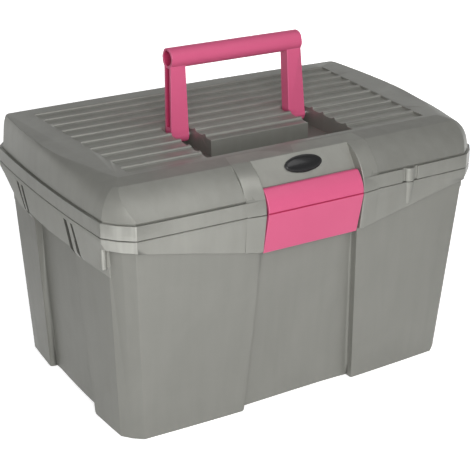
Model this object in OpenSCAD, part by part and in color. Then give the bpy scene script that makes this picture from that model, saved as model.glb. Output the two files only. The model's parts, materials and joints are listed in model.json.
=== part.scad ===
// Grooming box: a drafted plastic box with a domed, ribbed lid that is hinged at the back,
// a fold-down carrying handle, a front latch flap, an oval badge and a lift-out insert.
// Millimetres. X is the width, +Y points to the back, Z is up. The origin is the middle of the base.

/* [Box] */
// Width over the bowed rim
rim_w = 400; // [390:1:412]
// Depth over the bowed rim
rim_d = 275; // [268:1:284]
// Width of the base over its bowed sides
base_w = 364; // [350:1:372]
// Depth of the base over its bowed front and back
base_d = 238; // [228:1:246]
// Height of the seam between box and lid
seam_z = 201; // [190:1:215]
// Wall thickness of the box
wall = 2.6; // [2.2:0.1:3.2]
// Thickness of the bottom
bottom_t = 3; // [2:0.5:5]
// Bow of the sides at the rim
side_bow = 4.5; // [3:0.5:6]
// Bow of the front and back at the rim
front_bow = 2.5; // [1.5:0.5:4]
// Bow of the four walls at the base
base_bow = 4; // [2:0.5:6]
// Corner cut at the rim
rim_cut = 22; // [19:1:25]
// Bow of the side walls under the rim
wall_bow = 5.5; // [4:0.5:7]
// Corner cut of the walls under the rim, along the front
wall_cut_x = 14.5; // [12:0.5:18]
// Corner cut of the walls under the rim, along the sides
wall_cut_y = 25; // [20:0.5:27]
// Corner cut at the base
base_cut = 16; // [12:1:18]
// How far the side walls stand back under the rim
side_proud = 8; // [7:0.5:9]
// How far the front and back walls stand back under the rim
front_proud = 3; // [2.5:0.5:4]

/* [Pads and recesses] */
// Depth of the centre recess in the front and back
pad_front = 8.5; // [6:0.5:10]
// Depth of the centre recess in each side
pad_side = 7; // [5:0.5:9]
// Half width of the front recess at the base
front_recess_foot = 61; // [55:1:68]
// Half width of the side recess at the base
side_recess_foot = 52; // [46:1:58]
// Height of the upper end of the back recess
back_recess_top = 158; // [145:1:162]

/* [Skirt] */
// Drop of the front skirt below the seam at the corners
skirt_corner_drop = 11; // [9:0.5:15]
// Drop of the front skirt below the seam beside the latch
skirt_middle_drop = 36; // [30:1:40]
// Half width where the skirt reaches its lowest edge
skirt_middle_half = 56; // [53:1:64]
// Drop of the side apron to where it is flush with the wall
apron_drop = 40; // [38:1:46]
// How far the side apron stands out of the middle of the wall
apron_proud = 5; // [4:0.1:6]
// Height of the bevel along the apron's lower edge
apron_bevel = 7; // [5:0.5:8]
// Height of the upright edge of the rim
rim_edge = 4; // [3:0.5:6]
// Drop of the lower edge of the side hand grip
grip_drop = 31.5; // [26:0.5:34]
// Half width of the side hand grip
grip_half = 45; // [40:1:48]
// Thickness of the side hand grip
grip_t = 3; // [2.5:0.1:4]
// Width of the upright slits beside the hand grip
slit_w = 4.8; // [3:0.1:5.5]
// Depth of the slits
slit_depth = 5; // [3:0.1:6]
// Distance of the inner slits from the middle
slit_inner = 48.5; // [47:0.5:51]
// Distance of the outer slits from the middle
slit_outer = 60; // [57:0.5:66]

/* [Lid] */
// Height of the band along the lower edge of the lid
band_h = 13.5; // [11:0.5:16]
// Thickness of the band
band_t = 5; // [4.5:0.1:6]
// Thickness of the band where it passes the tongue of the box
band_lip_t = 3.5; // [3:0.1:4]
// Height of the groove between band and dome
step_h = 1.8; // [1.2:0.1:2.5]
// Depth of that groove
step_depth = 3; // [2:0.1:3.5]
// Rise of the lid above the seam at its front brow
lid_front_rise = 42.4; // [40:0.2:45]
// Rise of the lid above the seam at its back brow
lid_back_rise = 46.5; // [44:0.5:50]
// Radius of the rounded front of the dome
dome_round = 42; // [39:1:44]
// How far the back of the dome slopes in
back_slope = 26; // [20:1:32]
// Thickness of the dome
lid_wall = 2.6; // [2.2:0.1:3.2]
// How far each end of the dome stands back from the band
end_inset = 2; // [1.5:0.5:3]
// Lean of each end of the dome, from band to top
end_lean = 2.5; // [2:0.5:5]
// How far the upper edge of each end is rounded in
end_round = 2; // [1:0.5:3]
// Corner cut along the top of the dome
top_cut = 3; // [2:0.5:6]
// Front corner cut along the top of the dome
top_front_cut = 1.5; // [1:0.5:4]
// Radius of the rounding over the dome's front corners
corner_round = 20; // [16:1:24]
// Turn of the dome's front at the soft ridge that ends its arc, in degrees
ridge_turn = 70; // [64:1:76]
// How flat the dome's front is below the ridge, from 0 for a round arc to 1 for a flat face
front_flat = 0.6; // [0.2:0.1:0.8]
// How much further the dome's back corners are cut along the ends
back_cut_more = 6; // [2:1:12]

/* [Ribs] */
// Number of grooves across the lid
rib_count = 10; // [8:1:11]
// Pitch of the grooves
rib_pitch = 18.5; // [17:0.1:19]
// Depth of the grooves
rib_depth = 2.4; // [2:0.1:3.5]
// Width of the crest between two grooves
rib_crest = 2.5; // [2:0.5:5]
// Shift of the grooves towards the back
rib_shift = 2; // [0:0.5:4]
// Half length of the grooves at the back
rib_back_half = 165; // [158:1:170]
// Half length of the grooves at the front
rib_front_half = 156; // [150:1:160]

/* [Handle] */
// Outer diameter of the grip
grip_d = 19; // [17:0.5:20]
// Bore of the hollow grip
grip_bore = 14; // [11:0.5:15]
// Distance from the pivot to the middle of the grip
handle_arm = 72.5; // [68:0.5:76]
// Distance of the legs' inner faces from the middle
leg_inner = 55; // [52:0.5:58]
// Width of a leg at the grip
leg_top_w = 15; // [13:0.5:17]
// Width of a leg at the pivot
leg_foot_w = 18.5; // [17:0.5:20]
// Thickness of a leg, front to back
leg_t = 12; // [10:0.5:13]
// Thickness of the leg's walls
leg_wall = 2.8; // [2:0.1:3.5]
// Radius of the round foot of a leg
leg_foot_r = 6.5; // [6.1:0.1:7]
// How far the raised handle leans back against its stop, in degrees
handle_lean = 4.5; // [2:0.5:7]
// Place of the handle pivot, front to back
pivot_y = -4.5; // [-8:0.5:0]
// Drop of the handle pivot below the front brow of the lid
pivot_drop = 6.6; // [5.5:0.1:7.5]
// Diameter of the handle pins
handle_pin_d = 5; // [4:0.5:6]
// How far a handle pin is pressed into each wall
pin_seat = 6; // [4:0.5:8]

/* [Latch] */
// Width of the latch flap
latch_w = 100; // [90:1:106]
// Gap on each side of the flap
latch_gap = 1.3; // [0.8:0.1:1.6]
// Thickness of the flap
latch_t = 3.4; // [2.8:0.1:4]
// How far the flap bulges in front of the rim
latch_proud = 4; // [3.5:0.1:5]
// Radius of the flap's rounded upper half
latch_round = 25.5; // [24:0.5:27]
// Drop of the flap's lower edge below the seam
latch_drop = 38.5; // [36:0.5:42]
// How far the lower edge lies behind the bulge
latch_tuck = 9; // [6:0.5:10]
// Rise of the latch pin above the seam
latch_pin_rise = 16.5; // [15:0.5:18]
// Distance of the latch pin behind the bulge
latch_pin_back = 12; // [11:0.5:13]
// Diameter of the latch pin
latch_pin_d = 3.5; // [3:0.5:4]
// Radius of the latch barrel
latch_barrel_r = 4.2; // [3.8:0.1:4.6]
// Half width of the hook and of its catch
hook_half = 28; // [20:1:40]
// Drop of the catch's underside below the seam
catch_drop = 18; // [15:0.5:21]
// How far the catch stands out of the recess
catch_reach = 4.2; // [3.5:0.1:5]
// Width of the pilaster on each side of the latch
pilaster_w = 18.6; // [14:0.2:22]
// How far the pilasters stand out of the dome
pilaster_lift = 1.6; // [1:0.1:2.5]

/* [Hinge] */
// Distance of each hinge from the middle
hinge_x = 110; // [90:1:125]
// Distance of the hinge axis behind the rim
hinge_back = 0.8; // [0.6:0.1:1.5]
// Radius of the hinge knuckles
knuckle_r = 3.2; // [3:0.1:4]
// Half length of the lid's knuckle
lid_knuckle_half = 10; // [8:1:14]
// Length of each of the box's knuckles
box_knuckle = 10; // [7:1:14]
// Diameter of the hinge pins
hinge_pin_d = 4; // [3:0.5:4.5]

/* [Badge] */
// Width of the oval badge
badge_w = 39; // [30:1:44]
// Height of the oval badge
badge_h = 16; // [14:1:20]
// Thickness of the badge's base plate
badge_plate_t = 1.2; // [0.8:0.1:1.6]
// Crown of the badge's dome
badge_crown = 2; // [1.2:0.1:2.4]

/* [Insert] */
// Depth of the insert
tray_depth = 45; // [35:1:55]
// Thickness of the insert's walls
tray_wall = 2; // [1.6:0.1:2.6]
// Room between the insert and the box
tray_gap = 3; // [2:0.1:4]
// Distance of each divider from the middle
divider_x = 62; // [40:1:80]
// Thickness of a divider
divider_t = 2; // [1.6:0.1:3]
// Depth of the guides that hold a divider
guide_depth = 5; // [4:0.5:7]
// Width of the ledges that carry the insert
ledge_w = 8; // [6:0.5:12]

/* [Fits] */
// Gap between the rim and the lid's band
seam_gap = 0.4; // [0.3:0.05:0.8]
// Radial clearance of a pin that turns
run_fit = 0.05; // [0.03:0.01:0.08]
// Clearance between moving faces
clear = 0.5; // [0.4:0.05:0.8]
// Clearance of parts that are lifted out by hand
loose = 0.3; // [0.2:0.05:0.5]

/* [Hidden] */
$fn = 64;

grey = [0.57, 0.57, 0.54];
pink = [0.86, 0.40, 0.56];
black = [0.06, 0.06, 0.06];
steel = [0.72, 0.72, 0.73];

side_steps = 10;
// How far the middle of a corner bulges, as a share of its cut
bulge_share = 0.055;
// A corner cut at 45 degrees shrinks by this share of an inset
cut_share = (2 - sqrt(2)) * [1, 1];
base_edge = 0.6;
far = 260;

rim_hx = rim_w / 2 - side_bow;
rim_hy = rim_d / 2 - front_bow;
wall_hx = rim_hx - side_proud;
wall_hy = rim_hy - front_proud;
// Where the sides end and the cut corners begin
corner_y = wall_hy - wall_cut_y;
base_hx = base_w / 2 - base_bow;
base_hy = base_d / 2 - base_bow;

tongue_h = 3;
tongue_t = 2;
apron_z = seam_z - apron_drop;
grip_z = seam_z - grip_drop;

lid_z = seam_z + seam_gap;
band_top = seam_z + band_h;
dome_z = band_top + step_h;
front_brow_z = seam_z + lid_front_rise;
back_brow_z = seam_z + lid_back_rise;
dome_inset = 1.5;
front_start = asin((dome_z - front_brow_z + dome_round) / dome_round);
// Where the rounded front and the sloping back meet the flat top
brow_y = rim_hy - dome_inset - dome_round * cos(front_start);
back_brow_y = rim_hy - dome_inset - back_slope;
// Slope of the lid's top from the front brow to the back brow
function crest_z(y) = mix(front_brow_z, back_brow_z, (y + brow_y) / (back_brow_y + brow_y));
dome_steps = 12;
crest_slope = atan2(back_brow_z - front_brow_z, back_brow_y + brow_y);
top_t = rib_depth + lid_wall;

pivot_z = front_brow_z - pivot_drop;
channel_half = leg_inner + leg_foot_w + 4;
island_half = leg_inner - 2.5;
channel_floor = pivot_z - max(grip_d / 2, leg_foot_r) - 1.3;
channel_front = pivot_y - handle_arm - grip_d / 2 - 1;
channel_back = pivot_y + leg_foot_r + 0.6;
island_front = pivot_y - handle_arm + grip_d / 2 + 20.5;
pin_boss_r = handle_pin_d / 2 + 3;

latch_half = latch_w / 2;
pocket_half = latch_half + latch_gap;
pilaster_half = pocket_half + pilaster_w;
bulge_y = -rim_d / 2 - latch_proud;
latch_pin_y = bulge_y + latch_pin_back;
latch_pin_z = seam_z + latch_pin_rise;
pocket_y = latch_pin_y + latch_barrel_r + clear;
panel_z = latch_pin_z + latch_barrel_r - 1.5;
panel_top_y = pocket_y + 14;
panel_top_z = front_brow_z - dome_round
              + sqrt(pow(dome_round, 2) - pow(panel_top_y + brow_y + front_bow, 2));
panel_tilt = atan2(panel_top_z - panel_z, panel_top_y - pocket_y);
ear_r = latch_pin_d / 2 + 3.2;
ear_w = 8;
pilaster_mid = -brow_y - front_bow - pilaster_lift;
pilaster_y = pilaster_mid - dome_round;
pilaster_tuck = 5;
// The band's face at the outer edge of a pilaster, which stands a little proud of it
flush_y = -rim_hy - front_bow * (1 - pow(pilaster_half / (rim_hx - rim_cut), 2)) - 0.4;
latch_bottom = seam_z - latch_drop;
catch_z = seam_z - catch_drop;
catch_h = 5;
hook_h = 4;

hinge_y = rim_d / 2 + hinge_back;
hinge_z = seam_z + seam_gap / 2;

boss_x = 106;
boss_y = -rim_hy - front_bow / 2 + 3;

tray_inset = max(pad_front, pad_side) + wall + tray_gap;
tray_top = seam_z - 4;
tray_z = tray_top - tray_depth;
ledge_t = 3;

function mix(a, b, t) = a + (b - a) * t;

// Points on an arc in the YZ plane, from one angle to another
function arc(y, z, r, from, to, steps) =
    [for (i = [0:steps]) let (a = mix(from, to, i / steps)) [y + r * cos(a), z + r * sin(a)]];

// A bowed rectangle with cut corners, counter-clockwise from the left end of the front.
// A cut is given along the front and along the side, and the front may be narrower than the back.
function outline(hx, front, back, bow_x, bow_y, cut, back_cut, narrower = 0) =
    let (u = [for (i = [0:side_steps]) 2 * i / side_steps - 1],
         last = side_steps,
         mid = cut * (0.5 - bulge_share),
         back_mid = back_cut * (0.5 - bulge_share),
         side_y = [for (t = u) mix(cut.y - front, back - back_cut.y, (t + 1) / 2)],
         front_hx = hx - narrower,
         side_x = [for (t = u) hx - narrower * pow((1 - t) / 2, 4) + bow_x * (1 - t * t)],
         front_y = [for (t = u) -front - bow_y * (1 - t * t)],
         back_y = [for (t = u) back + bow_y * (1 - t * t)])
    concat([for (i = [0:last]) [u[i] * (front_hx - cut.x), front_y[i]]],
           [[front_hx - mid.x, mid.y - front]],
           [for (i = [0:last]) [side_x[i], side_y[i]]], [[hx - back_mid.x, back - back_mid.y]],
           [for (i = [0:last]) [-u[i] * (hx - back_cut.x), back_y[i]]],
           [[back_mid.x - hx, back - back_mid.y]],
           [for (i = [last:-1:0]) [-side_x[i], side_y[i]]], [[mid.x - front_hx, mid.y - front]]);

// The same with equal corners, its front and back equally far from the middle
function even_outline(hx, hy, bow_x, bow_y, cut) = outline(hx, hy, hy, bow_x, bow_y, cut, cut);

function wall_hx_at(z) = mix(base_hx, wall_hx, z / seam_z);
function wall_hy_at(z) = mix(base_hy, wall_hy, z / seam_z);
function front_bow_at(z) = mix(base_bow, front_bow, z / seam_z);
function side_bow_at(z) = mix(base_bow, wall_bow, z / seam_z);
function cut_at(z) = mix([base_cut, base_cut], [wall_cut_x, wall_cut_y], z / seam_z);

// Outline of the box wall at a height, moved out by an offset
function wall_ring(z, off = 0) =
    even_outline(wall_hx_at(z) + off, wall_hy_at(z) + off, side_bow_at(z), front_bow_at(z),
                 cut_at(z) + off * cut_share);

// Outline of the rim, moved out by an offset
function rim_ring(off = 0) =
    even_outline(rim_hx + off, rim_hy + off, side_bow, front_bow, [rim_cut, rim_cut] + off * cut_share);

// Outline of the skirt at a height, flush with the side walls at the corners and bowed out of them
function apron_ring(z, proud, off = 0) =
    even_outline(wall_hx_at(z) - 0.3 + off, wall_hy_at(z) + front_proud + off,
                 side_bow_at(z) + proud, front_bow_at(z), cut_at(z) + off * cut_share);

// The dome's front at a share of the way from the band to the ridge, seen from the middle of its arc
function front_at(share, r) =
    let (turn = mix(front_start, ridge_turn, share),
         chord = mix([cos(front_start), sin(front_start)], [cos(ridge_turn), sin(ridge_turn)], share))
    r * mix([cos(turn), sin(turn)], chord, front_flat);

// Outline of the dome at a share of its steps, 0 at the band and 1 at the flat top, as points in space.
// The front rises to the ridge, the back follows its slope, and each ring lies on a plane.
function dome_ring(t, off = 0, sink = 0) =
    let (r = dome_round + off,
         place = t < 1 ? front_at(t * dome_steps / (dome_steps - 1), r) : [0, r],
         rise = (place.y / r - sin(front_start)) / (1 - sin(front_start)),
         front = brow_y + place.x,
         back = rim_hy - dome_inset - back_slope * rise + off,
         front_z = front_brow_z - dome_round + place.y - sink,
         back_z = mix(dome_z, back_brow_z, rise) + off - sink,
         hx = rim_hx - end_inset + off - end_lean * rise - end_round * pow(t, 6),
         front_cut = mix(rim_cut, top_front_cut, rise) * [1, 1],
         back_cut = mix([rim_cut, rim_cut + back_cut_more], [top_cut, top_cut], rise),
         narrower = corner_round * (1 - sqrt(1 - rise * rise)),
         shape = outline(hx, front, back, side_bow, front_bow, front_cut, back_cut, narrower))
    [for (p = shape) [p.x, p.y, mix(front_z, back_z, (p.y + front) / (front + back))]];

// Where the front wall's recess lies at a height, on the middle line
function recess_y(z) = -wall_hy_at(z) - front_bow_at(z) + pad_front;

// Rings of flat points, each lifted to its own height
function lifted(rings, heights) =
    [for (k = [0:len(rings) - 1]) [for (p = rings[k]) [p.x, p.y, heights[k]]]];

// A solid through rings of equally many points in space
module skin(rings) {
    n = len(rings[0]);
    top = len(rings) - 1;
    points = [for (ring = rings) for (p = ring) p];
    sides = [for (k = [0:top - 1]) for (i = [0:n - 1]) let (j = (i + 1) % n)
                [[k * n + i, (k + 1) * n + i, k * n + j], [(k + 1) * n + i, (k + 1) * n + j, k * n + j]]];
    lids = [[for (i = [0:n - 1]) i], [for (i = [n - 1:-1:0]) top * n + i]];
    polyhedron(points, concat(lids, [for (pair = sides) each pair]), convexity = 6);
}

// A solid through flat rings, each at its own height
module loft(rings, heights) {
    skin(lifted(rings, heights));
}

// A shape drawn in XZ, extruded along Y between two depths
module along_y(from, to) {
    translate([0, to, 0]) rotate([90, 0, 0]) linear_extrude(to - from) children();
}

// A shape drawn in YZ, extruded along X between two widths
module along_x(from, to) {
    translate([from, 0, 0]) rotate([90, 0, 90]) linear_extrude(to - from) children();
}

// A solid along X from one outline in YZ to another of equally many points, in even steps
module across(from, to, profile, end_profile, steps = 1) {
    skin([for (k = [0:steps]) let (x = mix(from, to, k / steps), ring = mix(profile, end_profile, k / steps))
             [for (p = ring) [x, p.x, p.y]]]);
}

// A cylinder along X between two widths, at a place in YZ
module rod(from, to, y, z, r) {
    translate([from, y, z]) rotate([0, 90, 0]) cylinder(r = r, h = to - from);
}

module both_sides() {
    children();
    mirror([1, 0, 0]) children();
}

module front_and_back() {
    children();
    mirror([0, 1, 0]) children();
}

// Box

module wall_solid(inset, from, to) {
    loft([wall_ring(from, -inset), wall_ring(to, -inset)], [from, to]);
}

// Outline of the front recess, wider at the foot and as wide as the latch pocket at the top
module front_recess_shape(grow, top) {
    foot = front_recess_foot + grow;
    head = pocket_half + grow;
    polygon([[-foot, -far], [-foot, 0], [-head, latch_bottom], [-head, top],
             [head, top], [head, latch_bottom], [foot, 0], [foot, -far]]);
}

module side_recess_shape(grow, top) {
    foot = side_recess_foot + grow;
    head = grip_half + grow;
    polygon([[-foot, -far], [-foot, 0], [-head, grip_z], [-head, top],
             [head, top], [head, grip_z], [foot, 0], [foot, -far]]);
}

// The space in front of the recessed walls; grown by the wall it is what the cavity leaves out
module recesses(grow) {
    reach = base_hy / 2;
    difference() {
        union() {
            along_y(-far, -reach) front_recess_shape(grow, seam_z + far);
            along_y(reach, far) front_recess_shape(grow, back_recess_top + grow);
        }
        wall_solid(pad_front + grow, -10, seam_z + 20);
    }
    difference() {
        both_sides() along_x(base_hx / 2, far) side_recess_shape(grow, seam_z - 6 + grow);
        wall_solid(pad_side + grow, -10, seam_z + 20);
    }
}

// The skirt widens from the walls to the rim, with a bevelled apron on each side
module skirt_solid(inset) {
    bevel_z = apron_z + apron_bevel;
    loft([apron_ring(apron_z, 0, -inset), apron_ring(bevel_z, apron_proud, -inset),
          rim_ring(-inset), rim_ring(-inset)],
         [apron_z, bevel_z, seam_z - rim_edge, seam_z]);
}

// Everything below the slanted lower edge of the front skirt
module skirt_cut_shape() {
    low = seam_z - skirt_middle_drop;
    high = seam_z - skirt_corner_drop;
    corner = rim_hx - rim_cut;
    polygon([[-far, 0], [-far, high], [-corner, high], [-skirt_middle_half, low],
             [skirt_middle_half, low], [corner, high], [far, high], [far, 0]]);
}

module side_slits() {
    difference() {
        for (y = [-slit_outer, -slit_inner, slit_inner, slit_outer])
            translate([wall_hx / 2, y - slit_w / 2, apron_z - 1])
                cube([far, slit_w, apron_drop - rim_edge + 1]);
        skirt_solid(slit_depth);
    }
}

module skirt() {
    difference() {
        skirt_solid(0);
        front_and_back() along_y(-far, -corner_y) skirt_cut_shape();
        both_sides() {
            side_slits();
            // The finger space behind the hand grip, and the free space under it
            intersection() {
                translate([wall_hx / 2, -grip_half, apron_z - 1])
                    cube([far, 2 * grip_half, apron_drop - 6 + 1]);
                skirt_solid(grip_t);
            }
            translate([wall_hx / 2, -grip_half, apron_z - 1])
                cube([far, 2 * grip_half, grip_z - apron_z + 1]);
        }
    }
}

// Pilasters beside the latch, proud at the latch and nearly flush at their outer edges
module box_pilasters() {
    low = seam_z - skirt_middle_drop;
    root = -wall_hy_at(low);
    flush_low = root - front_proud - front_bow_at(low);
    profile = [[root, low], [root, seam_z], [pilaster_y, seam_z], [pilaster_y + pilaster_tuck, low]];
    flush = [[root, low], [root, seam_z], [flush_y, seam_z], [flush_low, low]];
    difference() {
        both_sides() across(pocket_half, pilaster_half, profile, flush, 6);
        along_y(-far, -corner_y) skirt_cut_shape();
    }
}

// A small round rib under the outer end of each front corner skirt
module corner_pegs() {
    r = 2.6;
    web = 1.6;
    top = seam_z - skirt_corner_drop + 1;
    low = top - 19;
    both_sides() translate([wall_hx_at(low) + 4.5, -corner_y, low]) {
        cylinder(r = r, h = top - low);
        sphere(r = r);
        translate([-6, -web / 2, 0]) cube([6, web, top - low]);
    }
}

// The tapered lower half of the boss pair
module box_boss() {
    length = 20;
    tip_r = 3;
    translate([boss_x, boss_y, seam_z - length]) {
        cylinder(r1 = tip_r, r2 = 5.5, h = length);
        sphere(r = tip_r);
    }
}

// The ridge behind the latch that its hook catches under
module latch_catch() {
    root = recess_y(catch_z) + wall / 2;
    tip = recess_y(catch_z) - catch_reach;
    along_x(-hook_half, hook_half)
        polygon([[root, catch_z], [tip, catch_z], [tip, catch_z + catch_h / 2],
                 [root, catch_z + catch_h + catch_reach]]);
}

// A pair of knuckles with the gusset that ties them to the back of the skirt
module box_knuckles() {
    for (side = [-1, 1]) {
        inner = hinge_x + side * lid_knuckle_half + side * clear;
        outer = inner + side * box_knuckle;
        from = min(inner, outer);
        to = max(inner, outer);
        rod(from, to, hinge_y, hinge_z, knuckle_r);
        along_x(from, to)
            polygon([[wall_hy, seam_z - 14], [hinge_y + knuckle_r * 0.7, hinge_z - knuckle_r * 0.7],
                     [hinge_y, hinge_z], [wall_hy, hinge_z - seam_gap / 2]]);
    }
}

// Corner ledges on which the insert stands
module tray_ledges() {
    top = tray_z - loose;
    reach_x = wall_hx_at(top) - 45;
    reach_y = wall_hy_at(top) - 40;
    intersection() {
        difference() {
            wall_solid(wall / 2, top - ledge_t, top);
            wall_solid(tray_inset + ledge_w, top - 2 * ledge_t, top + ledge_t);
        }
        both_sides() front_and_back()
            translate([reach_x, -far, 0]) cube([far, far - reach_y, seam_z]);
    }
}

module box_outside() {
    tongue = rim_ring(-band_lip_t - clear);
    inside = rim_ring(-band_lip_t - clear - tongue_t);
    difference() {
        union() {
            loft([wall_ring(0, -base_edge), wall_ring(base_edge), wall_ring(seam_z)],
                 [0, base_edge, seam_z]);
            difference() {
                loft([tongue, tongue], [seam_z - 2, seam_z + tongue_h]);
                loft([inside, inside], [seam_z, seam_z + 2 * tongue_h]);
            }
        }
        recesses(0);
        // The tongue is left out behind the latch
        translate([-pocket_half - wall, -far, seam_z])
            cube([2 * (pocket_half + wall), far, far]);
    }
    skirt_without_latch();
    box_pilasters();
    corner_pegs();
    box_boss();
    latch_catch();
    both_sides() box_knuckles();
}

module skirt_without_latch() {
    difference() {
        skirt();
        along_y(-far, recess_y(seam_z) - 0.01) front_recess_shape(0, seam_z + far);
    }
}

module body_shell() {
    color(grey) {
        difference() {
            box_outside();
            difference() {
                wall_solid(wall, bottom_t, seam_z + 10);
                recesses(wall);
            }
            both_sides() {
                rod(hinge_x - lid_knuckle_half - clear, hinge_x + lid_knuckle_half + clear,
                    hinge_y, hinge_z, knuckle_r + clear);
                rod(hinge_x - far / 2, hinge_x + far / 2, hinge_y, hinge_z, hinge_pin_d / 2);
            }
        }
        tray_ledges();
    }
}

// Lid

module dome_solid(off, sink) {
    skin([for (k = [0:dome_steps]) dome_ring(k / dome_steps, off, sink)]);
}

// The pilasters, and between them the rounder front that the badge panel is cut from
module lid_pilasters() {
    middle = front_brow_z - dome_round;
    root = [[-brow_y, lid_z], [-brow_y, front_brow_z - top_t]];
    between = arc(pilaster_mid + pilaster_lift, middle, dome_round, 108, 178, 12);
    bay = concat(root, between, [[pilaster_mid + pilaster_lift - dome_round, lid_z]]);
    across(-pocket_half - 1, pocket_half + 1, bay, bay);
    bulge = arc(pilaster_mid, middle, dome_round - 0.3, 108, 178, 12);
    reach = (pilaster_mid + pilaster_lift - flush_y) / dome_round;
    flush = [for (p = arc(0, middle, dome_round, 108, 178, 12))
                [pilaster_mid + pilaster_lift + p.x * reach, p.y]];
    both_sides() across(pocket_half, pilaster_half,
                        concat(root, bulge, [[pilaster_y + 0.3, lid_z]]),
                        concat(root, flush, [[flush_y, lid_z]]), 6);
}

// The upper half of the boss pair, standing in a notch of the band
module lid_boss() {
    translate([boss_x, boss_y, lid_z]) cylinder(r = 5.5, h = band_h - seam_gap);
}

module boss_notch() {
    translate([boss_x - 8.5, -far, lid_z - 1]) cube([17, far + boss_y - 1.5, band_h + 1]);
}

module lid_outside() {
    difference() {
        loft([rim_ring(), rim_ring()], [lid_z, band_top]);
        boss_notch();
    }
    loft([rim_ring(-step_depth), rim_ring(-step_depth)], [band_top - 1, dome_z + 1]);
    dome_solid(0, 0);
    lid_pilasters();
    lid_boss();
    both_sides() lid_knuckle();
}

module lid_knuckle() {
    from = hinge_x - lid_knuckle_half;
    to = hinge_x + lid_knuckle_half;
    rod(from, to, hinge_y, hinge_z, knuckle_r);
    along_x(from, to)
        polygon([[rim_hy, lid_z], [hinge_y, hinge_z],
                 [hinge_y + knuckle_r * 0.7, hinge_z + knuckle_r * 0.7], [rim_hy, lid_z + 12]]);
}

// The channel that the handle folds into, around a ribbed island
module handle_channel(grow) {
    floor = channel_floor - grow;
    both_sides() translate([island_half - grow, channel_front - grow, floor])
        cube([channel_half - island_half + 2 * grow, channel_back - channel_front + 2 * grow, far]);
    translate([-channel_half - grow, channel_front - grow, floor])
        cube([2 * (channel_half + grow), island_front - channel_front + 2 * grow, far]);
}

// Everything in front of the latch pocket's back wall and of the badge panel
module latch_pocket_shape(back) {
    turn = panel_tilt / 2;
    y = pocket_y + back;
    z = panel_z + back * tan(turn);
    run = panel_top_y - pocket_y;
    polygon([[y, -far], [y, z], [y + 2 * run, z + 2 * run * tan(panel_tilt)],
             [-far, z + 2 * run * tan(panel_tilt)], [-far, -far]]);
}

module pin_bosses() {
    both_sides() {
        rod(island_half - pin_seat - 1.5, island_half, pivot_y, pivot_z, pin_boss_r);
        rod(channel_half, channel_half + pin_seat + 1.5, pivot_y, pivot_z, pin_boss_r);
    }
}

module lid_hollow() {
    difference() {
        union() {
            loft([rim_ring(-band_lip_t), rim_ring(-band_lip_t)], [lid_z - 5, lid_z + tongue_h + 2]);
            loft([rim_ring(-band_t), rim_ring(-band_t)], [lid_z, band_top - 1]);
            dome_solid(-lid_wall - step_depth + dome_inset, rib_depth);
        }
        handle_channel(lid_wall);
        along_x(-pocket_half - lid_wall, pocket_half + lid_wall) latch_pocket_shape(lid_wall);
        both_sides() rod(pocket_half, pocket_half + ear_w + lid_wall, latch_pin_y, latch_pin_z, ear_r);
        pin_bosses();
    }
}

// A groove has a broad hollow floor, steep at its back and rising gently to its front
module rib_grooves() {
    half_w = (rib_pitch - rib_crest) / 2;
    steps = 18;
    floor = [for (i = [0:steps]) let (u = 1.03 * (2 * i / steps - 1))
                [u * half_w, rib_depth * (pow(abs(u), u > 0 ? 8 : 2.5) - 1)]];
    for (i = [0:rib_count - 1]) {
        y = (i - (rib_count - 1) / 2) * rib_pitch + rib_shift;
        half = mix(rib_front_half, rib_back_half, i / (rib_count - 1));
        translate([0, y, crest_z(y)]) rotate([crest_slope, 0, 0]) along_x(-half, half)
            polygon(concat(floor, [[half_w, 9], [-half_w, 9]]));
    }
}

module lid_shell() {
    color(grey) difference() {
        lid_outside();
        lid_hollow();
        rib_grooves();
        handle_channel(0);
        along_x(-pocket_half, pocket_half) latch_pocket_shape(0);
        both_sides() {
            // Room for the box's knuckles, and the bores for the hinge, latch and handle pins
            for (side = [-1, 1])
                rod(hinge_x + side * (lid_knuckle_half + box_knuckle / 2 + clear) - box_knuckle / 2 - clear,
                    hinge_x + side * (lid_knuckle_half + box_knuckle / 2 + clear) + box_knuckle / 2 + clear,
                    hinge_y, hinge_z, knuckle_r + clear);
            rod(hinge_x - lid_knuckle_half - 1, hinge_x + lid_knuckle_half + 1,
                hinge_y, hinge_z, hinge_pin_d / 2 + run_fit);
            rod(0, pocket_half + ear_w, latch_pin_y, latch_pin_z, latch_pin_d / 2);
            rod(island_half - pin_seat, channel_half + pin_seat, pivot_y, pivot_z, handle_pin_d / 2);
        }
    }
}

// Hinge pins, pressed into the box's knuckles
module hinge_pin() {
    half = lid_knuckle_half + clear + box_knuckle;
    color(steel) rod(hinge_x - half, hinge_x + half, hinge_y, hinge_z, hinge_pin_d / 2);
}

module hinge_pin_left() {
    mirror([1, 0, 0]) hinge_pin();
}

module hinge_pin_right() {
    hinge_pin();
}

// Handle, drawn with its pivot at the origin and its grip straight above

module leg_section(inset) {
    r = leg_t / 2 - inset;
    translate([-r, 0]) square([2 * r, handle_arm]);
    translate([0, handle_arm]) circle(r = grip_d / 2 - inset);
}

module leg() {
    foot = leg_inner + leg_foot_w;
    top = leg_inner + leg_top_w;
    pocket_z = leg_foot_r + leg_wall;
    difference() {
        intersection() {
            union() {
                along_x(leg_inner, foot) leg_section(0);
                rod(leg_inner, foot, 0, 0, leg_foot_r);
            }
            along_y(-far, far)
                polygon([[leg_inner, -leg_foot_r - 1], [foot, -leg_foot_r - 1], [foot, 0],
                         [top, handle_arm], [top, handle_arm + grip_d], [leg_inner, handle_arm + grip_d]]);
        }
        intersection() {
            along_x(leg_inner + leg_wall, far) leg_section(leg_wall);
            translate([0, -far, pocket_z]) cube([far, 2 * far, far]);
        }
    }
}

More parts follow.
